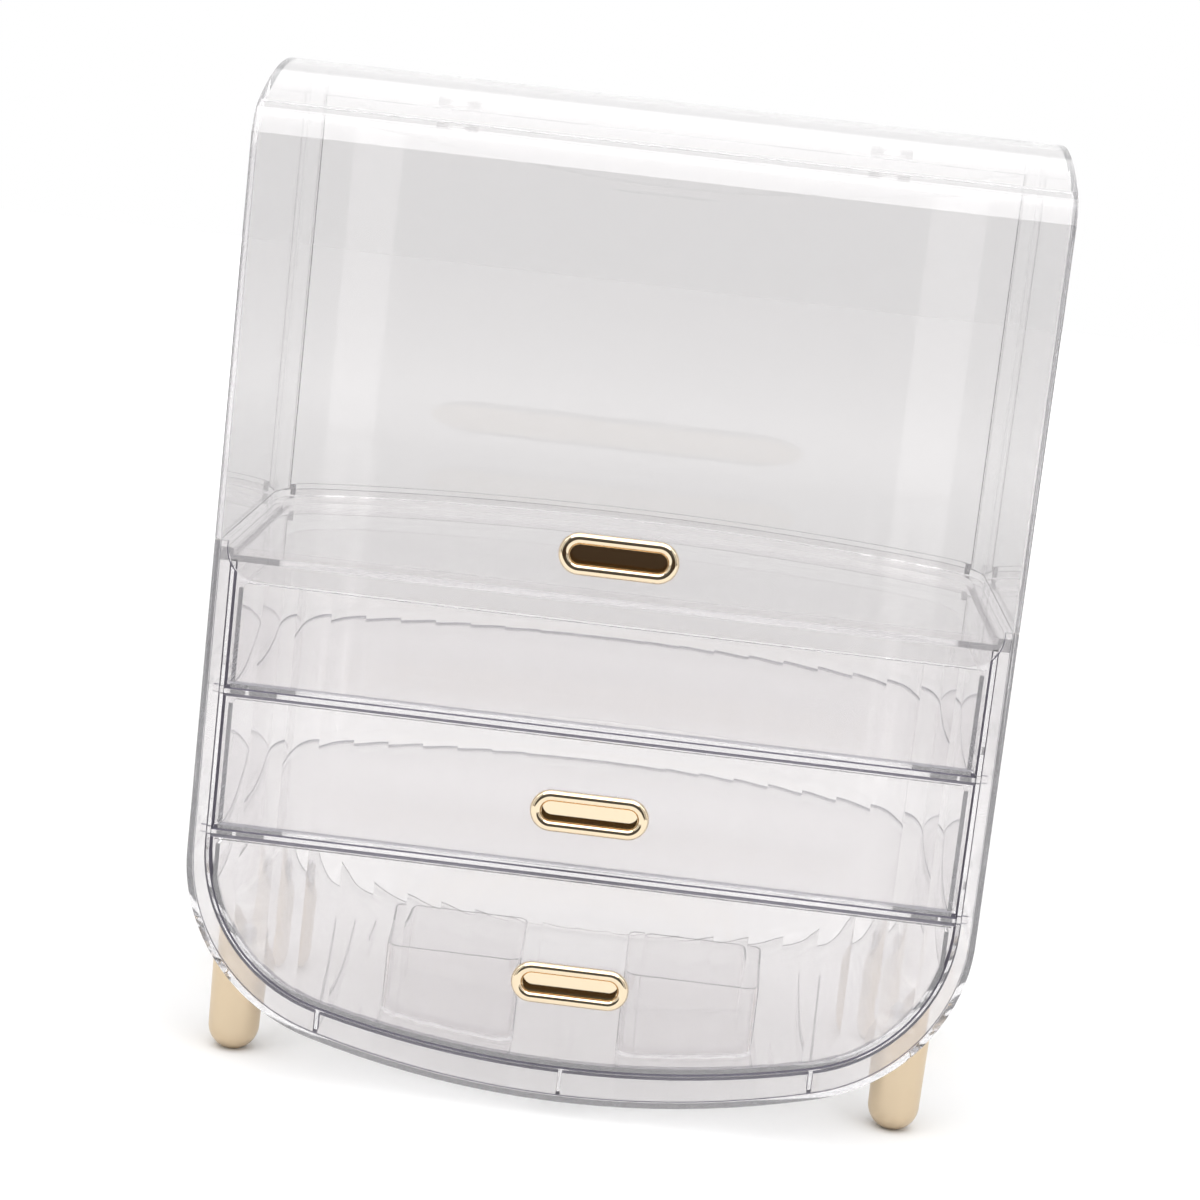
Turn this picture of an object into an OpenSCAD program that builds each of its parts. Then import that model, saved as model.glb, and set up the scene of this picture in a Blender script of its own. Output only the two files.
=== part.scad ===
// Dustproof vanity organizer in clear moulded plastic.
// A double walled case with a bowed underside stands on four gilt legs.
// It holds three fluted drawers under a deck, and a hinged hood closes over the deck.
// X runs across the front, Y runs from front to back and Z runs up from the table.

/* [Case] */
// Width over the side walls
case_w = 300; // [270:1:330]
// Depth from the front face to the middle of the bowed back
case_d = 190; // [180:1:205]
// Wall of the outer shell, the lid and the hood
shell_t = 2.3; // [1.8:0.1:2.8]
// Radius of the two rounded back corners, seen from above
back_corner_r = 33; // [28:1:36]
// Radius of the bowed back, seen from above
back_bow_r = 275; // [255:1:300]
// Rounding of the upright front edges
front_edge_r = 1.5; // [0.8:0.1:1.8]
// Height of the lowest point of the case above the table
lift = 6.5; // [4:0.5:12]
// Radius of the rounded lower corners, seen from the front
belly_corner_r = 72; // [66:1:76]
// Radius of the bowed underside, seen from the front
belly_bow_r = 360; // [340:5:400]
// Height of the joint between the case and the hood
parting_z = 207.6; // [206.8:0.1:209]

/* [Inner frame] */
// Width of the frame's face beside the drawers, measured from the side of the case
rail_w = 8.4; // [7.6:0.1:10]
// Height of the lowest point of the opening
opening_low_z = 19.7; // [18:0.1:22]
// Radius of the lower corners of the opening
opening_corner_r = 62; // [58:1:64]
// Radius of the bowed lower edge of the opening
opening_bow_r = 390; // [370:5:420]
// Wall of the sleeve round the drawers
sleeve_t = 2; // [1.4:0.1:2.4]
// Thickness of the face that closes the space between both walls
face_t = 2.2; // [1.6:0.1:3]
// Distance of the outer ribs under the sleeve from the sides of the case
rib_side = 55; // [50:1:80]
// Thickness of each rib under the sleeve
rib_t = 1.6; // [1.2:0.1:2.4]
// Length of each rib under the sleeve
rib_len = 120; // [80:1:130]

/* [Shelves and deck] */
// Height of the upper shelf's top face
upper_shelf_z = 151.8; // [146:0.1:155]
// Height of the lower shelf's top face
lower_shelf_z = 97; // [95:0.1:101]
// Thickness of both shelves
shelf_t = 2.8; // [2:0.1:3]
// Length of each tab that plugs into the sleeve
tab_len = 16; // [10:1:24]
// How far each tab stands out of its shelf
tab_out = 5; // [4:0.1:5.2]
// Distance of the front tabs from the front face
tab_front = 6; // [4:1:12]
// Distance between the front and back tabs
tab_pitch = 84; // [60:1:100]
// Thickness of the deck's floor
deck_t = 2.2; // [1.6:0.1:2.4]
// Height of the deck's raised rim over its floor
deck_rim_h = 2.8; // [2:0.1:3.4]
// Width of the deck's rim
deck_rim_w = 4.6; // [3.5:0.1:6]
// Distance of the deck's underside, where it lies on the sleeve, under the hood's joint
deck_drop = 7.6; // [7:0.1:8.2]

/* [Hood and lid] */
// Height of the crest of the hood
crest_z = 385.5; // [370:0.5:395]
// Distance of the crest from the front face
crest_back = 84; // [78:1:90]
// Radius of the arched top, seen from the side
arch_r = 175; // [165:1:200]
// Radius of the bend between the front and the arched top
brow_r = 20; // [14:1:26]
// Distance of the joint between lid and hood from the front face
split_back = 143; // [140:0.5:148]
// Distance of the lip's lower edge under the hood's joint
lip_drop = 14.2; // [13.2:0.1:15.2]
// Distance of the lip's side edges from the sides of the case
lip_side = 5.5; // [4.5:0.1:7]
// Radius of the lip's lower corners
lip_corner_r = 12; // [8:0.5:13]
// How far the hood's tongue reaches down inside the case
tongue_h = 2.2; // [1.4:0.1:2.2]
// Thickness of the hood's tongue
tongue_t = 1.8; // [1.2:0.1:2.2]

/* [Hinge] */
// Distance of each hinge from the side of the case
hinge_side = 61.5; // [55:0.5:80]
// Height of the hinge axis over the roof at the joint
hinge_rise = 3.5; // [3.2:0.1:3.8]
// Radius of each hinge barrel
barrel_r = 4; // [3.6:0.1:4.2]
// Width of the lid's barrel
lid_barrel_w = 6.4; // [5:0.1:8]
// Width of each of the hood's barrels
hood_barrel_w = 5; // [4:0.1:6]
// Diameter of the hinge pins
pin_d = 2.4; // [2:0.1:3]
// How far the webs of the barrels reach along the roof
web_len = 11; // [9:0.5:13]

/* [Drawers] */
// Thickness of the drawer fronts
front_t = 2.4; // [2:0.1:3]
// Thickness of the side and back walls of the drawer boxes
box_t = 1.7; // [1.4:0.1:2.2]
// Thickness of the drawer floors
floor_t = 2; // [1.6:0.1:2.4]
// Gap between a box and the side of the opening
box_side = 2.2; // [1.6:0.1:6]
// Distance of the middle of a box's back from the back of the case
box_back = 14.5; // [13:0.5:22]
// Radius of the back corners of the boxes
box_corner_r = 41; // [36:1:46]
// Radius of the bowed backs of the boxes
box_bow_r = 300; // [270:5:400]
// Width of each upright flute on the inside of the drawer fronts
flute_pitch = 13; // [11:0.5:15]
// Radius of the hollow of each flute
flute_r = 40; // [34:1:60]
// How far the box of each drawer stays under the top of its front
box_drop = 2; // [1:0.1:4]
// Radius of the lower corners of the top drawer's front
top_corner_r = 1; // [0.5:0.5:4]
// Radius of the lower corners of the middle drawer's front
mid_corner_r = 4; // [1:0.5:6]
// Width of each loose bin
bin_w = 52; // [40:1:56]
// Depth of each loose bin
bin_d = 58; // [40:1:80]
// Top edge of the loose bins
bin_top_z = 56; // [50:1:70]
// Wall of the loose bins
bin_t = 1.4; // [1.2:0.1:2]
// Corner radius of the loose bins
bin_r = 6; // [4:0.5:10]
// Distance of the bins from the middle of the drawer
bin_x = 20; // [12:1:24]
// Distance of the bins from the front face
bin_front = 14; // [12:1:30]

/* [Handles] */
// Length of each pull over its ring
pull_w = 45; // [40:0.5:52]
// Height of each pull over its ring
pull_h = 16; // [14:0.5:18]
// Radius of the ring's round section
ring_r = 2.2; // [1.6:0.1:2.4]
// How far the ring stands out of the front face
ring_out = 2.4; // [1.8:0.1:3]
// Depth of the dish behind the front face
dish_depth = 5; // [4:0.5:8]
// Wall of the dish
dish_t = 1.2; // [1:0.1:1.6]
// Height of the lid's pull
lid_pull_z = 218.4; // [216:0.1:232]
// Height of the middle drawer's pull
mid_pull_z = 120.2; // [112:0.1:132]
// Height of the bottom drawer's pull
low_pull_z = 52.9; // [48:0.1:64]

/* [Legs] */
// Distance of each leg's axis from the side of the case
leg_side = 19; // [18:0.5:26]
// Distance of the front legs' axes from the front face
leg_front = 36; // [24:1:50]
// Distance of the back legs' axes from the back of the case
leg_back = 56; // [54:1:70]
// Radius of the round end of each leg
leg_end_r = 10; // [8:0.5:11]
// Radius of each leg at the level of the case's lower corners
leg_top_r = 11; // [9:0.5:12]
// Radius of the flat spot that each leg stands on
leg_foot_r = 3; // [2:0.5:5]
// Radius of the bosses inside the shell
boss_r = 5.5; // [5:0.1:6]
// Diameter of the leg screws
screw_d = 3; // [2.5:0.1:3.5]
// Length of the leg screws under the head
screw_len = 22; // [18:0.5:24]
// Diameter of the screw heads
screw_head_d = 6; // [5:0.1:6.2]
// Height of the screw heads
screw_head_h = 2; // [1.4:0.1:2.2]

/* [Clearances] */
// Dark gap round the drawer fronts
front_gap = 1.6; // [1:0.1:1.8]
// Gap between a drawer box and the shelf or sleeve under it
slide_gap = 0.4; // [0.3:0.05:0.6]
// Gap between the heads of the leg screws and the sleeve over them
head_gap = 1.13; // [1:0.01:1.6]
// Gap between the lid's lip and the front of the top drawer
lip_gap = 0.9; // [0.8:0.1:3]
// Gap round the lid's edges
lid_gap = 0.5; // [0.4:0.05:0.8]
// Fit between pieces that stay together
fit = 0.2; // [0.15:0.05:0.3]
// Gap between the barrels of the lid and the hood
hinge_gap = 0.3; // [0.2:0.05:0.4]
// Play of the lid's barrels on their pins, measured on the radius
pin_play = 0.08; // [0.05:0.01:0.1]

/* [Hidden] */
$fn = 96;

clear_tint = [0.80, 0.80, 0.84, 0.45];
gilt = [0.83, 0.60, 0.22];
steel = [0.72, 0.72, 0.74];

// Cutting tools pass the faces they open by this much
over = 1;
// The plan stands this far outside the side walls and the front, so that curved faces cross cleanly
ease = 0.05;
// Rounded corners stand this far outside the bow between them, so that the arcs cross cleanly
arc_cross = 0.004;

opening_w = case_w - 2 * rail_w;
lip_w = case_w - 2 * lip_side;
hinge_x = case_w / 2 - hinge_side;
leg_x = case_w / 2 - leg_side;
rib_x = case_w / 2 - rib_side;
front_y = (ring_out - case_d) / 2;
back_y = front_y + case_d;
inner_y = front_y + front_t;
split_y = front_y + split_back;
crest_y = front_y + crest_back;
arch_z = crest_z - arch_r;
brow_y = front_y + brow_r;
brow_z = arch_z + sqrt(pow(arch_r - brow_r, 2) - pow(crest_y - brow_y, 2));
deck_z = parting_z - deck_drop;
lip_z = parting_z - lip_drop;
deck_floor_z = deck_z + deck_t;
deck_rim_z = deck_floor_z + deck_rim_h;
deck_front_y = front_y + shell_t + lid_gap;
roof_z = arch_z + sqrt(pow(arch_r, 2) - pow(split_y - crest_y, 2));
hinge_z = roof_z + hinge_rise;
bore_d = pin_d + 2 * pin_play;
boss_z = sleeve_low_z(leg_x - screw_head_d / 2) - head_gap - screw_head_h;
hinge_w = lid_barrel_w + 2 * hood_barrel_w + 2 * hinge_gap;

// Distance to the centres of a bowed end's corner arcs, measured along the strip
function corner_reach(w, end, r, bow) =
  end - bow + sqrt(pow(bow - r + arc_cross, 2) - pow(w / 2 - r, 2));

// A strip with straight sides and one bowed end with rounded corners.
// It runs along +Y from start to end, and inset moves its outline inwards.
module bowed_strip(w, start, end, r, bow, inset = 0) {
  centre = end - bow;
  corner = corner_reach(w, end, r, bow);
  half = w / 2 - r;
  low = min(start, corner) - over;
  reach = (bow - inset + over) / (corner - centre);
  intersection() {
    union() {
      translate([inset - w / 2, low]) square([w - 2 * inset, corner - low]);
      for (side = [-1, 1]) translate([side * half, corner]) circle(r - inset);
      intersection() {
        translate([0, centre]) circle(bow - inset, $fn = 240);
        polygon([[0, centre],
          [half * reach, centre + (corner - centre) * reach],
          [-half * reach, centre + (corner - centre) * reach]]);
      }
    }
    translate([-w, start]) square([2 * w, end - inset + over - start]);
  }
}

// Outline of the case seen from above
module plan(inset = 0, start = front_y - ease) {
  bowed_strip(case_w + 2 * ease, start, back_y, back_corner_r, back_bow_r, inset);
}

// The same outline with its two upright front edges rounded
module rounded_plan() {
  centre = case_w / 2 + ease - front_edge_r;
  intersection() {
    plan();
    union() {
      translate([-case_w, front_y - ease + front_edge_r]) square([2 * case_w, case_d]);
      for (side = [-1, 1])
        translate([side * centre, front_y - ease + front_edge_r]) circle(front_edge_r);
      translate([-centre, front_y - ease]) square([2 * centre, 2 * front_edge_r]);
    }
  }
}

// Outline of the case seen from the front, up to top
module belly(inset = 0, top = parting_z) {
  mirror([0, 1]) bowed_strip(case_w, -top, -lift, belly_corner_r, belly_bow_r, inset);
}

// Outline of the drawer opening seen from the front, grown outwards by grow
module opening(grow = 0, top = parting_z) {
  mirror([0, 1])
    bowed_strip(opening_w, -top, -opening_low_z, opening_corner_r, opening_bow_r, -grow);
}

// Height of the sleeve's outer face over its rounded lower corner, at the distance x from the middle
function sleeve_low_z(x) =
  -corner_reach(opening_w, -opening_low_z, opening_corner_r, opening_bow_r)
  - sqrt(pow(opening_corner_r + sleeve_t, 2) - pow(x - opening_w / 2 + opening_corner_r, 2));

// Side view of the hood: upright front, bent brow and arched top
module hood_profile(inset = 0) {
  low_z = parting_z - 2 * over;
  reach = (arch_r + over) / (arch_r - brow_r);
  tangent_y = crest_y + (brow_y - crest_y) * reach;
  translate([front_y + inset, low_z]) square([crest_back - inset, brow_z - low_z]);
  translate([front_y + inset, low_z]) square([case_d + over, arch_z + over - low_z]);
  translate([brow_y, brow_z]) circle(brow_r - inset);
  intersection() {
    translate([crest_y, arch_z]) circle(arch_r - inset, $fn = 240);
    polygon([[crest_y, arch_z],
      [tangent_y, arch_z + (brow_z - arch_z) * reach],
      [tangent_y, crest_z + over],
      [back_y + case_d, crest_z + over],
      [back_y + case_d, arch_z]]);
  }
}

// Outline of a stadium with round ends, seen from the front
module stadium(w, h) {
  square([w - h, h], center = true);
  for (side = [-1, 1]) translate([side * (w - h) / 2, 0]) circle(h / 2);
}

// Rectangle from bottom to top whose two lower corners are rounded
module soft_panel(w, bottom, top, r) {
  translate([-w / 2, bottom + r]) square([w, top - bottom - r]);
  translate([r - w / 2, bottom]) square([w - 2 * r, top - bottom]);
  for (side = [-1, 1]) translate([side * (w / 2 - r), bottom + r]) circle(r);
}

// Carries an outline drawn in the front view from y0 to y1
module along_y(y0, y1) {
  translate([0, y1, 0]) rotate([90, 0, 0]) linear_extrude(y1 - y0) children();
}

// Carries an outline drawn in the side view from x0 to x1
module along_x(x0, x1) {
  translate([x0, 0, 0]) rotate([90, 0, 90]) linear_extrude(x1 - x0) children();
}

// Carries an outline drawn in the top view from z0 to z1
module along_z(z0, z1) {
  translate([0, 0, z0]) linear_extrude(z1 - z0) children();
}

// One round bar along X, centred on the middle of its length
module bar_x(r, len) {
  rotate([0, 90, 0]) cylinder(h = len, r = r, center = true);
}

// Shell of the hood bay, with its inner faces one wall inside the outer ones
module hood_skin() {
  half = case_w / 2;
  difference() {
    intersection() {
      along_z(parting_z, crest_z + over) rounded_plan();
      along_x(-half, half) hood_profile();
    }
    intersection() {
      along_z(parting_z - over, crest_z + over) plan(shell_t, front_y);
      along_x(shell_t - half, half - shell_t) hood_profile(shell_t);
    }
  }
}

// Places of the two hinges
module at_hinges() {
  for (side = [-1, 1]) translate([side * hinge_x, split_y, hinge_z]) children();
}

// Height of the roof at a distance behind the joint
function roof_at(d) = arch_z + sqrt(pow(arch_r, 2) - pow(split_y + d - crest_y, 2));

// A hinge barrel with a web that runs along the roof in direction dir
module barrel(x, width, dir) {
  translate([x, split_y, hinge_z]) bar_x(barrel_r, width);
  along_x(x - width / 2, x + width / 2) difference() {
    polygon([[split_y, hinge_z + barrel_r - fit],
      [split_y, roof_z - shell_t],
      [split_y + dir * web_len, roof_at(dir * web_len) - shell_t],
      [split_y + dir * web_len, roof_at(dir * web_len) + fit]]);
    translate([crest_y, arch_z]) circle(arch_r - shell_t / 2, $fn = 240);
  }
}

module outer_shell() {
  color(clear_tint) difference() {
    union() {
      difference() {
        intersection() {
          along_y(front_y, back_y + over) belly();
          along_z(0, parting_z + over) rounded_plan();
        }
        intersection() {
          along_y(front_y - over, back_y + over) belly(shell_t, parting_z + over);
          along_z(0, parting_z + 2 * over) plan(shell_t, front_y - 2 * over);
        }
      }
      intersection() {
        along_y(front_y, back_y) belly(shell_t / 2);
        at_legs() cylinder(h = boss_z, r = boss_r);
      }
    }
    at_legs() cylinder(h = boss_z + over, d = screw_d + fit);
    at_legs() translate([0, 0, boss_z]) cylinder(h = screw_head_h + over, d = screw_head_d + 2 * fit);
  }
}

// Outline that the lid's lip fills, seen from the front, grown by grow
module lip_outline(top, grow = 0) {
  soft_panel(lip_w + 2 * grow, lip_z - grow, top, lip_corner_r + grow);
}

module inner_frame() {
  hold = shell_t + fit;
  color(clear_tint) difference() {
    union() {
      along_y(front_y, front_y + face_t) belly(hold);
      intersection() {
        along_y(front_y + face_t / 2, back_y) opening(sleeve_t, deck_z);
        along_z(0, deck_z + over) plan(hold);
      }
      sleeve_ribs(hold);
    }
    along_y(front_y - over, back_y + over) opening(0, parting_z + over);
    along_y(front_y - over, front_y + face_t + over) lip_outline(parting_z + over, lid_gap);
    shelf_slots(lower_shelf_z);
    shelf_slots(upper_shelf_z);
  }
}

// Three ribs that hold the sleeve up over the underside of the shell
module sleeve_ribs(hold) {
  intersection() {
    along_y(front_y + face_t / 2, front_y + rib_len) belly(hold);
    for (x = [-rib_x, 0, rib_x])
      translate([x - rib_t / 2, front_y, 0])
        cube([rib_t, rib_len + over, parting_z]);
  }
}

// Slots in the sleeve for the tabs of a shelf
module shelf_slots(top_z) {
  for (side = [-1, 1], row = [0, 1])
    translate([side > 0 ? opening_w / 2 - over : -opening_w / 2 - tab_out - over,
      front_y + tab_front + row * tab_pitch - fit, top_z - shelf_t - fit])
      cube([tab_out + 2 * over, tab_len + 2 * fit, shelf_t + 2 * fit]);
}

// A flat shelf that follows the bowed back, with two tabs at each end
module shelf(top_z) {
  w = opening_w - 2 * fit;
  margin = (case_w - w) / 2;
  color(clear_tint) along_z(top_z - shelf_t, top_z) {
    bowed_strip(w, front_y + fit, back_y - margin, back_corner_r - margin, back_bow_r - margin);
    for (row = [0, 1])
      translate([-w / 2 - tab_out, front_y + tab_front + row * tab_pitch])
        square([w + 2 * tab_out, tab_len]);
  }
}

module lower_shelf() shelf(lower_shelf_z);

module upper_shelf() shelf(upper_shelf_z);

// Floor of the hood bay: a shallow tray with a flat raised rim
module deck() {
  hold = shell_t + fit;
  color(clear_tint) difference() {
    along_z(deck_z, deck_rim_z) plan(hold, deck_front_y);
    along_z(deck_floor_z, deck_rim_z + over) plan(hold + deck_rim_w, deck_front_y + deck_rim_w / 2);
  }
}

// Fixed rear part of the hood with its tongue and the outer barrels of the hinges
module back_hood() {
  color(clear_tint) difference() {
    union() {
      intersection() {
        hood_skin();
        translate([-case_w, split_y, parting_z]) cube([2 * case_w, case_d, crest_z]);
      }
      hood_tongue();
      hood_barrels();
    }
    at_hinges() bar_x(barrel_r + hinge_gap, lid_barrel_w + 2 * hinge_gap);
    at_hinges() bar_x(pin_d / 2, hinge_w + 2 * over);
  }
}

// Tongue that grows out of the hood's wall and drops inside the case's wall
module hood_tongue() {
  inset = shell_t + fit / 2;
  difference() {
    union() {
      along_z(parting_z - tongue_h, parting_z + shell_t) plan(inset, split_y);
      along_z(parting_z, parting_z + shell_t) plan(shell_t / 2, split_y);
    }
    along_z(parting_z - tongue_h - over, parting_z + shell_t + over)
      plan(inset + tongue_t, split_y - over);
  }
}

module hood_barrels() {
  for (side = [-1, 1], part = [-1, 1])
    barrel(side * hinge_x + part * ((lid_barrel_w + hood_barrel_w) / 2 + hinge_gap), hood_barrel_w, 1);
}

module lid() {
  lower_z = parting_z + lid_gap;
  color(clear_tint) difference() {
    union() {
      difference() {
        intersection() {
          hood_skin();
          translate([-case_w, front_y - over, lower_z])
            cube([2 * case_w, split_back + over - lid_gap, crest_z]);
        }
        at_hinges() for (side = [-1, 1])
          translate([side * (lid_barrel_w + hinge_gap + hood_barrel_w) / 2, 0, 0])
            bar_x(barrel_r + hinge_gap, hood_barrel_w + 2 * hinge_gap);
      }
      along_y(front_y, front_y + shell_t) lip_outline(lower_z + lip_corner_r);
      for (side = [-1, 1]) barrel(side * hinge_x, lid_barrel_w, -1);
    }
    at_hinges() bar_x(bore_d / 2, hinge_w);
    pull_hole(lid_pull_z);
  }
}

module hinge_pin(side) {
  color(steel) translate([side * hinge_x, split_y, hinge_z]) bar_x(pin_d / 2, hinge_w);
}

module hinge_pin_left() hinge_pin(-1);

module hinge_pin_right() hinge_pin(1);

// Opening in a front for the dish of a pull
module pull_hole(z) {
  translate([0, 0, z]) along_y(front_y - over, front_y + front_t + shell_t)
    stadium(pull_w - 2 * ring_r + fit, pull_h - 2 * ring_r + fit);
}

// Gilt pull: a round ring on the face and a dish that the fingertips reach into
module pull(z) {
  ring_y = front_y - ring_out + ring_r;
  run = pull_w - pull_h;
  loop_r = pull_h / 2 - ring_r;
  color(gilt) translate([0, 0, z]) {
    for (side = [-1, 1]) {
      intersection() {
        translate([side * run / 2, ring_y, 0]) rotate([90, 0, 0])
          rotate_extrude() translate([loop_r, 0]) circle(ring_r, $fn = 32);
        translate([side > 0 ? run / 2 : -pull_w, front_y - 2 * ring_out, -pull_h])
          cube([pull_w - run / 2, 2 * ring_out, 2 * pull_h]);
      }
      intersection() {
        translate([0, ring_y, side * loop_r]) bar_x(ring_r, run);
        translate([-run / 2, front_y - 2 * ring_out, -pull_h]) cube([run, 2 * ring_out, 2 * pull_h]);
      }
    }
    difference() {
      along_y(front_y - ring_out / 2, front_y + dish_depth)
        stadium(pull_w - 2 * ring_r, pull_h - 2 * ring_r);
      along_y(front_y - ring_out, front_y + dish_depth - dish_t)
        stadium(pull_w - 2 * ring_r - 2 * dish_t, pull_h - 2 * ring_r - 2 * dish_t);
    }
  }
}

module lid_pull() pull(lid_pull_z);

module middle_pull() pull(mid_pull_z);

module bottom_pull() pull(low_pull_z);

// Outline of a drawer box behind its front, seen from above
module box_plan(start, inset = 0) {
  bowed_strip(opening_w - 2 * box_side, start, back_y - box_back, box_corner_r, box_bow_r, inset);
}

// Space inside a drawer box, seen from above, with hollow flutes along the front.
// The ridges between two flutes lie on the inner face of the front.
module box_space() {
  centre_y = inner_y + sqrt(pow(flute_r, 2) - pow(flute_pitch / 2, 2));
  width = opening_w - 2 * (box_side + box_t);
  box_plan(inner_y, box_t);
  intersection() {
    translate([-width / 2, front_y]) square([width, front_t + over]);
    for (i = [1 : ceil(width / 2 / flute_pitch)], side = [-1, 1])
      translate([side * (i - 0.5) * flute_pitch, centre_y]) circle(flute_r, $fn = 240);
  }
}

// A drawer with a flat floor that slides on a shelf
module flat_drawer(shelf_z, top, corner_r) {
  low = shelf_z + slide_gap;
  rim = top - box_drop;
  difference() {
    union() {
      along_y(front_y, inner_y)
        soft_panel(opening_w - 2 * front_gap, shelf_z + front_gap, top, corner_r);
      along_z(low, rim) box_plan(inner_y - over);
    }
    along_z(low + floor_t, top + over) box_space();
  }
}

module top_drawer() {
  color(clear_tint) flat_drawer(upper_shelf_z, lip_z - lip_gap, top_corner_r);
}

module middle_drawer() {
  color(clear_tint) difference() {
    flat_drawer(lower_shelf_z, upper_shelf_z - shelf_t - front_gap / 2, mid_corner_r);
    pull_hole(mid_pull_z);
  }
}

// The bottom drawer follows the bowed opening
module bottom_drawer() {
  top = lower_shelf_z - shelf_t - front_gap / 2;
  rim = top - box_drop;
  color(clear_tint) difference() {
    union() {
      along_y(front_y, inner_y) opening(-front_gap, top);
      intersection() {
        along_y(inner_y - over, back_y) opening(-slide_gap, rim);
        along_z(0, rim) box_plan(inner_y - over);
      }
    }
    intersection() {
      along_y(front_y, back_y) opening(-slide_gap - floor_t, top + over);
      along_z(0, top + over) box_space();
    }
    pull_hole(low_pull_z);
  }
}

// Loose bin that stands on the bowed floor of the bottom drawer
module bin(side) {
  lean = slide_gap + floor_t + fit;
  color(clear_tint) translate([side * (bin_x + bin_w / 2), front_y + bin_front + bin_d / 2, 0])
    difference() {
      intersection() {
        linear_extrude(bin_top_z) soft_square(bin_w, bin_d, bin_r);
        translate([-side * (bin_x + bin_w / 2), -front_y - bin_front - bin_d / 2, 0])
          along_y(front_y, back_y) opening(-lean, bin_top_z);
      }
      intersection() {
        linear_extrude(bin_top_z + over)
          soft_square(bin_w - 2 * bin_t, bin_d - 2 * bin_t, bin_r - bin_t);
        translate([-side * (bin_x + bin_w / 2), -front_y - bin_front - bin_d / 2, 0])
          along_y(front_y, back_y) opening(-lean - bin_t, bin_top_z + over);
      }
    }
}

module soft_square(w, d, r) {
  square([w - 2 * r, d], center = true);
  square([w, d - 2 * r], center = true);
  for (x = [-1, 1], y = [-1, 1]) translate([x * (w / 2 - r), y * (d / 2 - r)]) circle(r);
}

module bin_left() bin(-1);

module bin_right() bin(1);

// Place of one leg, with side -1 on the left and row 0 at the front
module at_leg(side, row) {
  translate([side * leg_x, row == 0 ? front_y + leg_front : back_y - leg_back, 0]) children();
}

module at_legs() {
  for (side = [-1, 1], row = [0, 1]) at_leg(side, row) children();
}

// Gilt leg: a round end, a slight taper and a top cut to the shape of the case
module leg(side, row) {
  centre_z = sqrt(pow(leg_end_r, 2) - pow(leg_foot_r, 2));
  top = lift + belly_corner_r;
  color(gilt) difference() {
    at_leg(side, row) rotate_extrude() intersection() {
      union() {
        translate([0, centre_z]) circle(leg_end_r);
        polygon([[0, centre_z], [leg_end_r, centre_z], [leg_top_r, top], [0, top]]);
      }
      square([case_w, top]);
    }
    along_y(front_y, back_y) belly();
    at_leg(side, row) translate([0, 0, boss_z - screw_len - over]) cylinder(h = top, d = screw_d);
  }
}

module leg_front_left() leg(-1, 0);

module leg_front_right() leg(1, 0);

module leg_back_left() leg(-1, 1);

module leg_back_right() leg(1, 1);

module leg_screws() {
  color(steel) at_legs() translate([0, 0, boss_z - screw_len]) {
    cylinder(h = screw_len, d = screw_d);
    translate([0, 0, screw_len]) cylinder(h = screw_head_h, d = screw_head_d);
  }
}

outer_shell();
inner_frame();
lower_shelf();
upper_shelf();
deck();
back_hood();
lid();
lid_pull();
hinge_pin_left();
hinge_pin_right();
top_drawer();
middle_drawer();
middle_pull();
bottom_drawer();
bottom_pull();
bin_left();
bin_right();
leg_front_left();
leg_front_right();
leg_back_left();
leg_back_right();
leg_screws();
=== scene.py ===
# %% [markdown]
# # A clear dustproof makeup organizer
# This file dresses a finished mechanical model for a studio picture. The shapes come from the
# frame, which holds every moulded wall, drawer, pull and leg in metres. What is left to make here
# is the camera, the studio, and the surface of each material. The object is almost all clear
# plastic, so light that passes through it, and what it mirrors, does most of the work.

from math import cos, radians, sin

import bpy
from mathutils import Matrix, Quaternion, Vector


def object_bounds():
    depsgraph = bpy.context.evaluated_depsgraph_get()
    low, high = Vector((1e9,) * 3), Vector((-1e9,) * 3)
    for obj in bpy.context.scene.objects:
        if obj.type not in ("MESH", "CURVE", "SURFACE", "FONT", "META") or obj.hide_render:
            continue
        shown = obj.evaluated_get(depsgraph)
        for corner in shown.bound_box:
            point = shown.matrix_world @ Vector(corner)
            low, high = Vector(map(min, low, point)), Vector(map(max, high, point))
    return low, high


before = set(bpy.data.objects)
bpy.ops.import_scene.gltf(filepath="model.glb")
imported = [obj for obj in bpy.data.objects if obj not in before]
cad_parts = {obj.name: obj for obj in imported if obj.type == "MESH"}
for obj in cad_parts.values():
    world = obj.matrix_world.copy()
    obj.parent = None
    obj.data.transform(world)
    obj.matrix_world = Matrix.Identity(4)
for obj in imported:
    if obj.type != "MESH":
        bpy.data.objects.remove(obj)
cad_low, cad_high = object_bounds()
scene = bpy.context.scene
scene.view_settings.view_transform = "Standard"
size_mm = [round(v * 1000, 1) for v in cad_high - cad_low]
print("loaded", len(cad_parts), "pieces, size in mm", size_mm)

# %% [markdown]
# ## Colours and nodes
# A colour picked from a picture is an sRGB value, and a shader wants linear light, so one function
# turns the hex code into linear numbers. One more function adds a shader node, sets its fields and
# joins its inputs, which keeps each material short enough to read as a recipe. A third one opens an
# empty material. The real pieces are measured in millimetres and Blender counts in metres.

# %% Helpers for every material
MM = 0.001


def linear(hex_code):
    """The linear RGBA of a colour written as RRGGBB."""
    parts = [int(hex_code[i : i + 2], 16) / 255 for i in (0, 2, 4)]
    return (*[c / 12.92 if c <= 0.04045 else ((c + 0.055) / 1.055) ** 2.4 for c in parts], 1.0)


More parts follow.
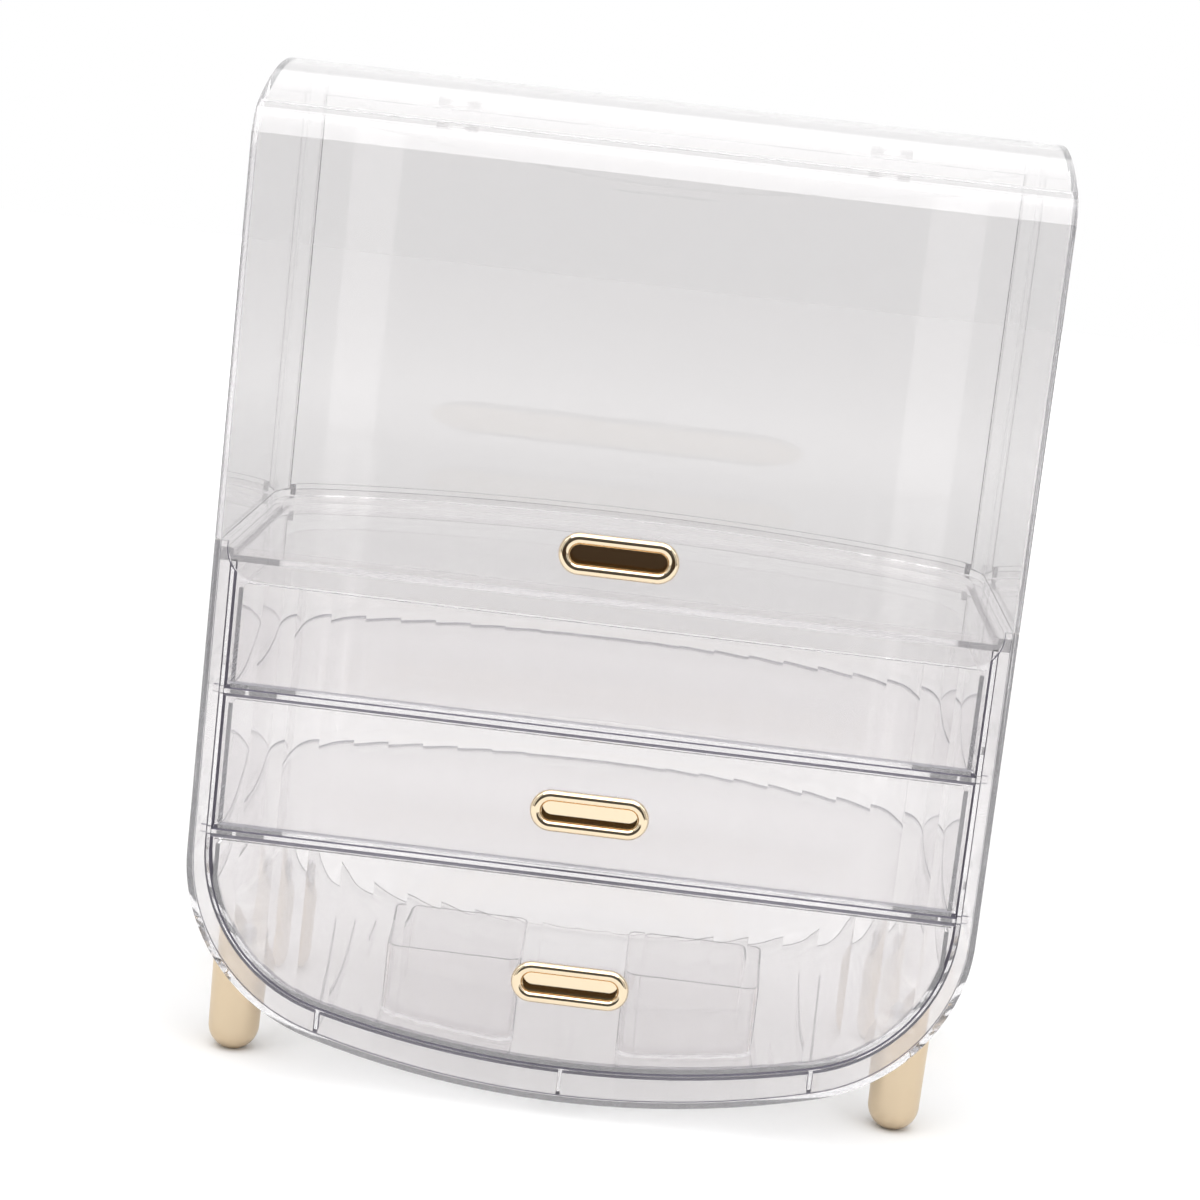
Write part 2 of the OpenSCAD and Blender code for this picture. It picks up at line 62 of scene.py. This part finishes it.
def add_node(tree, kind, inputs=None, **fields):
    """Adds a node, sets its fields, and fills each input with a value, a socket or a node."""
    made = tree.nodes.new(kind)
    for name, value in fields.items():
        setattr(made, name, value)
    for key, value in (inputs or {}).items():
        if isinstance(value, bpy.types.Node):
            value = value.outputs[0]
        if isinstance(value, bpy.types.NodeSocket):
            tree.links.new(value, made.inputs[key])
        else:
            made.inputs[key].default_value = value
    return made


def new_material(name):
    """An empty material, its node tree and its output node."""
    material = bpy.data.materials.new(name)
    material.use_nodes = True
    material.node_tree.nodes.clear()
    return material, material.node_tree, material.node_tree.nodes.new("ShaderNodeOutputMaterial")


print("one millimetre is", MM, "m")

# %% [markdown]
# ## The camera
# The picture was taken from a little above the hood, about a metre away, with a longish lens, and
# the whole object leans to the right in it. A camera looks along its own -Z axis, so it is first
# turned to face along the view line and then rolled about that line.

# %% Camera at the photograph's angle
CAMERA_AT = (0.0221, -1.1501, 0.3933)
CAMERA_YAW, CAMERA_PITCH, CAMERA_ROLL = radians(-1.48), radians(10.26), radians(6.51)
LENS_MM, SENSOR_MM = 87.0, 36.0

view_line = Vector((
    sin(CAMERA_YAW) * cos(CAMERA_PITCH),
    cos(CAMERA_YAW) * cos(CAMERA_PITCH),
    -sin(CAMERA_PITCH),
))
camera_data = bpy.data.cameras.new("camera")
camera_data.lens, camera_data.sensor_width = LENS_MM, SENSOR_MM
camera = bpy.data.objects.new("camera", camera_data)
camera.rotation_mode = "QUATERNION"
camera.location = CAMERA_AT
camera.rotation_quaternion = view_line.to_track_quat("-Z", "Y") @ Quaternion((0, 0, 1), CAMERA_ROLL)
scene.collection.objects.link(camera)
scene.camera = camera
print("camera", LENS_MM, "mm lens, looking along", [round(v, 3) for v in view_line])

# %% [markdown]
# ## The studio
# Clear plastic shows what surrounds it, so the studio is a white table with white behind it and
# soft boxes over it. Mirrored rays that go forwards leave the table's front edge and meet a dim
# room. That is why the low drawer fronts, which mirror the table, are brighter than the hood, and
# why the pull on the lid has a dark dish while the two lower pulls have light ones. The ceiling is
# brighter than the walls, and the arched roof mirrors it as the pale band across the top.
#
# A renderer tells a shader how a ray arrived. Two masks read that: one for rays that look at the
# surroundings, straight or through the plastic, and one for rays that were mirrored. A third
# helper multiplies tests together, so that a mask can ask for several things at once.

# %% Masks for rays and places
def where(tree, *tests):
    """1 where every test holds, and 0 elsewhere. A test is a comparison and its two or three values."""
    mask = 1.0
    for operation, *values in tests:
        test = add_node(tree, "ShaderNodeMath", dict(enumerate(values)), operation=operation)
        mask = add_node(tree, "ShaderNodeMath", {0: mask, 1: test}, operation="MULTIPLY")
    return mask


def seen_directly(tree, path):
    """1 for rays from the camera or through the plastic."""
    return add_node(tree, "ShaderNodeMath", {
        0: path.outputs["Is Camera Ray"], 1: path.outputs["Is Transmission Ray"]}, operation="MAXIMUM")


def mirrored(tree, path):
    """1 for reflected rays. Rays through the plastic count as glossy too, so they are left out."""
    through = ("LESS_THAN", seen_directly(tree, path), 0.5)
    return where(tree, ("GREATER_THAN", path.outputs["Is Glossy Ray"], 0.5), through)


print("masks ready")

# %% [markdown]
# ## The white room
# The world round the object is a sphere of light. A photographer would hang white paper behind the
# product and a lit cloth above it. Here one colour is enough, and its strength changes with the
# direction that a mirrored ray takes: dim ahead, white behind, and brightest high up at the back.
# Rays that look straight at it, or through the plastic, always find plain white.

# %% White surroundings
ROOM_DIM, AMBIENT, CEILING = 0.10, 0.68, 2.1
FRONT_OF_ROOM = {"From Min": -0.7, "From Max": -0.1, "To Min": ROOM_DIM, "To Max": 1.0}
CEILING_FRONT = {"From Min": -0.3, "From Max": -0.1, "To Min": 0.0, "To Max": CEILING - 1}
CEILING_EDGE = {"From Min": 0.42, "From Max": 0.5}

world = bpy.data.worlds.new("white_studio")
scene.world = world
world.use_nodes = True
tree = world.node_tree
tree.nodes.clear()
path = add_node(tree, "ShaderNodeLightPath")
direction = add_node(tree, "ShaderNodeTexCoord").outputs["Generated"]
heading = add_node(tree, "ShaderNodeSeparateXYZ", {"Vector": direction})
walls = add_node(tree, "ShaderNodeMapRange", {"Value": heading.outputs["Y"], **FRONT_OF_ROOM},
                 interpolation_type="SMOOTHSTEP")
behind = add_node(tree, "ShaderNodeMapRange", {"Value": heading.outputs["Y"], **CEILING_FRONT},
                  interpolation_type="SMOOTHSTEP")
above = add_node(tree, "ShaderNodeMapRange", {"Value": heading.outputs["Z"], **CEILING_EDGE},
                 interpolation_type="SMOOTHSTEP")
room = add_node(tree, "ShaderNodeMath", {0: above, 1: behind, 2: walls}, operation="MULTIPLY_ADD")
lighting = add_node(tree, "ShaderNodeMapRange", {
    "Value": mirrored(tree, path), "To Min": AMBIENT, "To Max": room})
strength = add_node(tree, "ShaderNodeMapRange", {
    "Value": seen_directly(tree, path), "To Min": lighting, "To Max": 1.0})
sky = add_node(tree, "ShaderNodeBackground", {"Color": linear("FFFFFF"), "Strength": strength})
add_node(tree, "ShaderNodeOutputWorld", {"Surface": sky})
print("white room, ceiling", CEILING, "times as bright as the walls")

# %% [markdown]
# ## The floor
# A product table is matt white, and it keeps the soft shadow of the object. Away from the object a
# little glow lifts it to plain white, for rays that look at it and for no others, so the glow adds
# no light to the object. Beyond the table's front edge mirrored rays meet the dim room instead.

# %% Pale floor
TABLE_FRONT, TABLE_EDGE, FLOOR_LIFT = 0.76, 0.10, 0.40
LIFT_THROUGH = {"From Min": 0.8, "From Max": 2.4, "To Min": 0.0, "To Max": FLOOR_LIFT}
LIFT_BARE = {"From Min": 0.4, "From Max": 1.2, "To Min": 0.0, "To Max": FLOOR_LIFT / 2}
TABLE_END = {"From Min": TABLE_EDGE - TABLE_FRONT, "From Max": -TABLE_EDGE - TABLE_FRONT}
SMOOTH = {"interpolation_type": "SMOOTHSTEP"}

floor_paint, tree, out = new_material("matt_white_floor")
path = add_node(tree, "ShaderNodeLightPath")
place = add_node(tree, "ShaderNodeTexCoord").outputs["Object"]
distance = add_node(tree, "ShaderNodeVectorMath", {0: place}, operation="LENGTH").outputs["Value"]
evening = 0.0
lifts = ((seen_directly(tree, path), LIFT_THROUGH), (path.outputs["Is Camera Ray"], LIFT_BARE))
for rays, lift in lifts:
    rise = add_node(tree, "ShaderNodeMapRange", {"Value": distance, **lift}, **SMOOTH)
    evening = add_node(tree, "ShaderNodeMath", {0: rays, 1: rise, 2: evening}, operation="MULTIPLY_ADD")
matt = add_node(tree, "ShaderNodeBsdfPrincipled", {
    "Base Color": linear("F0F0F0"), "Roughness": 0.9, "Specular IOR Level": 0.1})
glow = add_node(tree, "ShaderNodeEmission", {"Color": linear("FFFFFF"), "Strength": evening})
white = add_node(tree, "ShaderNodeAddShader", {0: matt, 1: glow})
depth = add_node(tree, "ShaderNodeSeparateXYZ", {"Vector": place}).outputs["Y"]
beyond = add_node(tree, "ShaderNodeMapRange", {"Value": depth, **TABLE_END}, **SMOOTH)
room = add_node(tree, "ShaderNodeEmission", {"Color": linear("C9A98C"), "Strength": ROOM_DIM})
hidden = add_node(tree, "ShaderNodeMath", {0: mirrored(tree, path), 1: beyond}, operation="MULTIPLY")
both = add_node(tree, "ShaderNodeMixShader", {0: hidden, 1: white, 2: room})
tree.links.new(both.outputs[0], out.inputs["Surface"])

print("floor paint ready")

# %% [markdown]
# ## The floor's shape
# A studio floor is a wide sheet with no edge in sight, so a single square face does. It belongs to
# the studio and not to the product.

# %% The floor's one face
FLOOR_SIZE = 9.0
half = FLOOR_SIZE / 2
corners = [(-half, -half, 0), (half, -half, 0), (half, half, 0), (-half, half, 0)]
floor_mesh = bpy.data.meshes.new("floor")
floor_mesh.from_pydata(corners, [], [(0, 1, 2, 3)])
floor_mesh.materials.append(floor_paint)
floor = bpy.data.objects.new("floor", floor_mesh)
scene.collection.objects.link(floor)
print("floor", FLOOR_SIZE, "m wide")

# %% [markdown]
# ## The lamps
# One wide soft box hangs over and before the object. Two narrow ones stand on the table left and
# right, and give the legs and the pulls their upright highlights. A small source would make hard
# glints in clear plastic, so all three are rectangles.

# %% Soft lamps
def soft_lamp(name, at, size, watts, towards):
    """A rectangular soft box that faces a point."""
    data = bpy.data.lights.new(name, "AREA")
    data.shape, data.energy = "RECTANGLE", watts
    data.size, data.size_y = size
    lamp = bpy.data.objects.new(name, data)
    lamp.location = at
    lamp.rotation_mode = "QUATERNION"
    lamp.rotation_quaternion = (Vector(towards) - Vector(at)).to_track_quat("-Z", "Y")
    scene.collection.objects.link(lamp)
    return lamp


def upright_box(name, angle, distance, width, height, watts):
    """A tall soft box on the table, at an angle from straight ahead."""
    at = (distance * sin(radians(angle)), -distance * cos(radians(angle)), height / 2)
    return soft_lamp(name, at, (width, height), watts, (0, 0, height / 2))


OVERHEAD_AT, OVERHEAD_AIM, OVERHEAD_SIZE = (0.0, -0.724, 1.938), (0, -0.314, 0.388), (2.8, 2.13)
OVERHEAD_WATTS, LEFT_WATTS, RIGHT_WATTS = 45, 0.35, 0.3
SIDE_DISTANCE, SIDE_HEIGHT = 0.86, 0.7

soft_lamp("overhead_box", OVERHEAD_AT, OVERHEAD_SIZE, OVERHEAD_WATTS, OVERHEAD_AIM)
upright_box("left_box", -45.4, SIDE_DISTANCE, 0.13, SIDE_HEIGHT, LEFT_WATTS)
upright_box("right_box", 43.7, SIDE_DISTANCE, 0.11, SIDE_HEIGHT, RIGHT_WATTS)
print("three soft boxes, the largest", OVERHEAD_SIZE, "m")

# %% [markdown]
# ## Bounces
# A ray that crosses the case passes a dozen walls and more, and each has two faces. With too few
# bounces it would end inside the plastic and leave a black patch.

# %% Enough bounces for many clear walls
CLEAR_BOUNCES, MIRROR_BOUNCES = 32, 16
scene.cycles.max_bounces = CLEAR_BOUNCES
scene.cycles.transmission_bounces = CLEAR_BOUNCES
scene.cycles.transparent_max_bounces = CLEAR_BOUNCES
scene.cycles.glossy_bounces = MIRROR_BOUNCES
print("bounces", CLEAR_BOUNCES)

# %% [markdown]
# ## Clear polystyrene
# The case, hood, drawers and bins are general purpose polystyrene, injection moulded in polished
# steel. It bends light more than glass does, with an index of 1.59, and has a faint grey tint.
# Moulded walls are never quite flat, so a very shallow ripple a few centimetres wide moves the
# reflections a little. A trace of haze in the plastic keeps its edges grey and not black. A shadow
# ray would stop at the first wall, so for those rays alone the plastic counts as a thin filter.

# %% What the plastic is like
RIPPLE_MM, RIPPLE_DEPTH_MM = 38.0, 0.02
SCUFF_MM, SCUFF_GLOSS = 6.0, 0.02
HAZE, HAZE_COLOUR, FILM_COLOUR = 0.02, "C8C7CA", "FBFBFB"
POLYSTYRENE_IOR = 1.59
# The hood's darker tint is painted shade: the hood is the same plastic as the case.
CASE_TINT, HOOD_SHADED_TINT = "F7F6F6", "ECEBEB"
print("polystyrene, index", POLYSTYRENE_IOR, "with", round(HAZE * 100), "% haze")

# %% [markdown]
# ## Painted shade in the gaps
# On the real object the narrow gap round a drawer front reads as a slate line. Rendered as plain
# clear plastic it came out pale, so the faces inside the gap get painted shade, a matt slate in the
# tone that the picture has: the sleeve round the fronts, the top faces of the shelves, and the front
# edge of the two flat drawers' floors. A fine grey line of painted shade lies in the corner where
# those floors meet their walls. Each place is measured on the piece itself, so the painted shade
# travels with a drawer that slides.

# %% Where the gap shows
# Painted shade: the matt slate laid on the faces inside the gap round a drawer front.
GAP_SHADE_COLOUR, GAP_DEPTH_MM, GAP_START_MM = "77747F", 8.0, 0.2
FRONT_MM, EDGE_MM = 2.4, 0.6
# Painted shade: a fine grey line in the corner where a drawer's floor meets its walls.
FLOOR_CORNER_SHADE_COLOUR, FLOOR_CORNER_SHADE_MM, FLOOR_CORNER_SHADE_SHARE = "A8A6AC", 0.8, 0.6
FLOOR_TOPS_MM = {"top_drawer": 154.4, "middle_drawer": 99.6}
FACE_Y = -93.8 * MM
CASE_MIDDLE = (0.0, FACE_Y, 0.125)


def in_gap(tree, place, wall):
    """1 on the faces that the narrow gap round a drawer front shows, where shade is painted, and 0
    elsewhere.
    """
    depth = add_node(tree, "ShaderNodeSeparateXYZ", {"Vector": place}).outputs["Y"]
    surface = add_node(tree, "ShaderNodeNewGeometry")
    facing = surface.outputs["True Normal"]
    heading = add_node(tree, "ShaderNodeSeparateXYZ", {"Vector": facing})
    if wall == "drawer":
        return where(tree, ("COMPARE", depth, FACE_Y + FRONT_MM * MM, EDGE_MM / 2 * MM),
                     ("LESS_THAN", heading.outputs["Y"], -0.5),
                     ("LESS_THAN", surface.outputs["Backfacing"], 0.5))
    half_gap = GAP_DEPTH_MM / 2 * MM
    to_middle = add_node(tree, "ShaderNodeVectorMath", {0: CASE_MIDDLE, 1: place}, operation="SUBTRACT")
    inwards = add_node(tree, "ShaderNodeVectorMath", {0: facing, 1: to_middle}, operation="DOT_PRODUCT")
    looks = (heading.outputs["Z"], 0.5) if wall == "shelf" else (inwards.outputs["Value"], 0.0)
    return where(tree, ("COMPARE", depth, FACE_Y + half_gap, half_gap - GAP_START_MM * MM),
                 ("COMPARE", heading.outputs["Y"], 0.0, 0.5), ("GREATER_THAN", *looks))


def at_floor(tree, place, floor_z):
    """The share of painted shade in the fine line where the walls stand on the floor, and 0 elsewhere.
    """
    height = add_node(tree, "ShaderNodeSeparateXYZ", {"Vector": place}).outputs["Z"]
    facing = add_node(tree, "ShaderNodeNewGeometry").outputs["True Normal"]
    slope = add_node(tree, "ShaderNodeSeparateXYZ", {"Vector": facing}).outputs["Z"]
    line = where(tree, ("COMPARE", height, floor_z * MM, FLOOR_CORNER_SHADE_MM / 2 * MM),
                 ("COMPARE", slope, 0.0, 0.5))
    return add_node(tree, "ShaderNodeMath", {0: line, 1: FLOOR_CORNER_SHADE_SHARE}, operation="MULTIPLY")


print("gap", GAP_DEPTH_MM, "mm deep, floor line", FLOOR_CORNER_SHADE_MM, "mm high")

# %% [markdown]
# ## The plastic itself
# Glass can be made in Blender from a glass shader, or from a full material that lets light through.
# The full one is used here, because it keeps its gloss and its tint in one place. The haze, the
# filter for shadows, the painted shade of the gaps and the painted shade line round a floor are
# mixed over it, in that order.

# %% Clear moulded plastic
def clear_plastic(name, tint, wall=None, floor_z=None):
    """Clear plastic, with painted shade in the gap by the named wall and a line of painted shade round
    a floor.
    """
    material, tree, out = new_material(name)
    place = add_node(tree, "ShaderNodeTexCoord").outputs["Object"]
    ripple = add_node(tree, "ShaderNodeTexNoise", {
        "Vector": place, "Scale": 1 / (RIPPLE_MM * MM), "Detail": 1.0})
    bump = add_node(tree, "ShaderNodeBump", {
        "Height": ripple, "Distance": RIPPLE_DEPTH_MM * MM, "Strength": 1.0})
    scuff = add_node(tree, "ShaderNodeTexNoise", {
        "Vector": place, "Scale": 1 / (SCUFF_MM * MM), "Detail": 3.0})
    gloss = add_node(tree, "ShaderNodeMapRange", {"Value": scuff, "To Min": 0.0, "To Max": SCUFF_GLOSS})
    clear = add_node(tree, "ShaderNodeBsdfPrincipled", {
        "Base Color": linear(tint), "Roughness": gloss, "IOR": POLYSTYRENE_IOR,
        "Transmission Weight": 1.0, "Normal": bump})
    milk = add_node(tree, "ShaderNodeAddShader", {
        0: add_node(tree, "ShaderNodeBsdfDiffuse", {"Color": linear(HAZE_COLOUR)}),
        1: add_node(tree, "ShaderNodeBsdfTranslucent", {"Color": linear(HAZE_COLOUR)})})
    body = add_node(tree, "ShaderNodeMixShader", {0: HAZE, 1: clear, 2: milk})
    film = add_node(tree, "ShaderNodeBsdfTransparent", {"Color": linear(FILM_COLOUR)})
    shadow = add_node(tree, "ShaderNodeLightPath").outputs["Is Shadow Ray"]
    mix = add_node(tree, "ShaderNodeMixShader", {0: shadow, 1: body, 2: film})
    if wall:
        # Painted shade: a matt slate on the faces inside the gap, where the gap is in shade.
        painted_gap_shade = add_node(tree, "ShaderNodeBsdfDiffuse", {"Color": linear(GAP_SHADE_COLOUR)})
        mix = add_node(tree, "ShaderNodeMixShader", {0: in_gap(tree, place, wall), 1: mix, 2: painted_gap_shade})
    if floor_z:
        # Painted shade: the fine grey line in the corner where the walls meet the floor.
        line = add_node(tree, "ShaderNodeBsdfDiffuse", {"Color": linear(FLOOR_CORNER_SHADE_COLOUR)})
        share = at_floor(tree, place, floor_z)
        mix = add_node(tree, "ShaderNodeMixShader", {0: share, 1: mix, 2: line})
    tree.links.new(mix.outputs[0], out.inputs["Surface"])
    print("made", name)
    return material


polystyrene = clear_plastic("clear_polystyrene_case", CASE_TINT)
hood_shaded_plastic = clear_plastic("clear_polystyrene_hood_shaded", HOOD_SHADED_TINT)
frame_plastic = clear_plastic("clear_polystyrene_frame", CASE_TINT, wall="sleeve")
shelf_plastic = clear_plastic("clear_polystyrene_shelves", CASE_TINT, wall="shelf")

# %% [markdown]
# ## Gilt and steel
# The pulls are ABS with a bright gold coloured plating, so they are a smooth metal to the eye. The
# legs have the same plating over a satin mould, which spreads the light and looks like champagne.
# The screws that hold the legs are turned steel. A plating could be a coat over plastic, but the eye
# meets only its top, so each is one metal, whose fine grain makes its gloss wander a little.

# %% Plated and plain metals
def metal(name, colour, rough_low, rough_high, grain_mm, grain_depth_mm):
    """A metal with a fine grain that moves its gloss between two values."""
    material, tree, out = new_material(name)
    place = add_node(tree, "ShaderNodeTexCoord").outputs["Object"]
    grain = add_node(tree, "ShaderNodeTexNoise", {
        "Vector": place, "Scale": 1 / (grain_mm * MM), "Detail": 3.0})
    rough = add_node(tree, "ShaderNodeMapRange", {
        "Value": grain, "To Min": rough_low, "To Max": rough_high})
    bump = add_node(tree, "ShaderNodeBump", {
        "Height": grain, "Distance": grain_depth_mm * MM, "Strength": 1.0})
    body = add_node(tree, "ShaderNodeBsdfPrincipled", {
        "Base Color": linear(colour), "Metallic": 1.0, "Roughness": rough, "Normal": bump})
    tree.links.new(body.outputs[0], out.inputs["Surface"])
    print("made", name)
    return material


bright_gilt = metal("bright_gold_plating", "E9D7BA", 0.06, 0.14, 1.5, 0.002)
satin_gilt = metal("satin_champagne_plating", "D6C3A7", 0.28, 0.4, 0.8, 0.01)
bright_steel = metal("turned_steel", "C4C4C8", 0.15, 0.3, 1.0, 0.004)

# %% [markdown]
# ## Dressing the pieces
# Each piece gets the finish of the real one, and some get painted shade on top. The lid, the fixed
# back of the hood and the two pins that are moulded with it share a copy of the same plastic with a
# darker tint, which is painted shade that makes the hood read darker. Each flat drawer has a plastic
# of its own, because its floor lies at a height of its own.

# %% A finish for every piece
FINISH = {"leg_screws": bright_steel, "inner_frame": frame_plastic}
FINISH.update(dict.fromkeys(("lid_pull", "middle_pull", "bottom_pull"), bright_gilt))
FINISH.update(dict.fromkeys(("lower_shelf", "upper_shelf"), shelf_plastic))
FINISH.update(dict.fromkeys(("lid", "back_hood", "hinge_pin_left", "hinge_pin_right"), hood_shaded_plastic))
for name, floor_z in FLOOR_TOPS_MM.items():
    FINISH[name] = clear_plastic(f"clear_polystyrene_{name}", CASE_TINT, wall="drawer", floor_z=floor_z)
for name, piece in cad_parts.items():
    finish = FINISH.get(name, satin_gilt if name.startswith("leg_") else polystyrene)
    piece.data.materials.clear()
    piece.data.materials.append(finish)
print("dressed", len(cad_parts), "pieces")
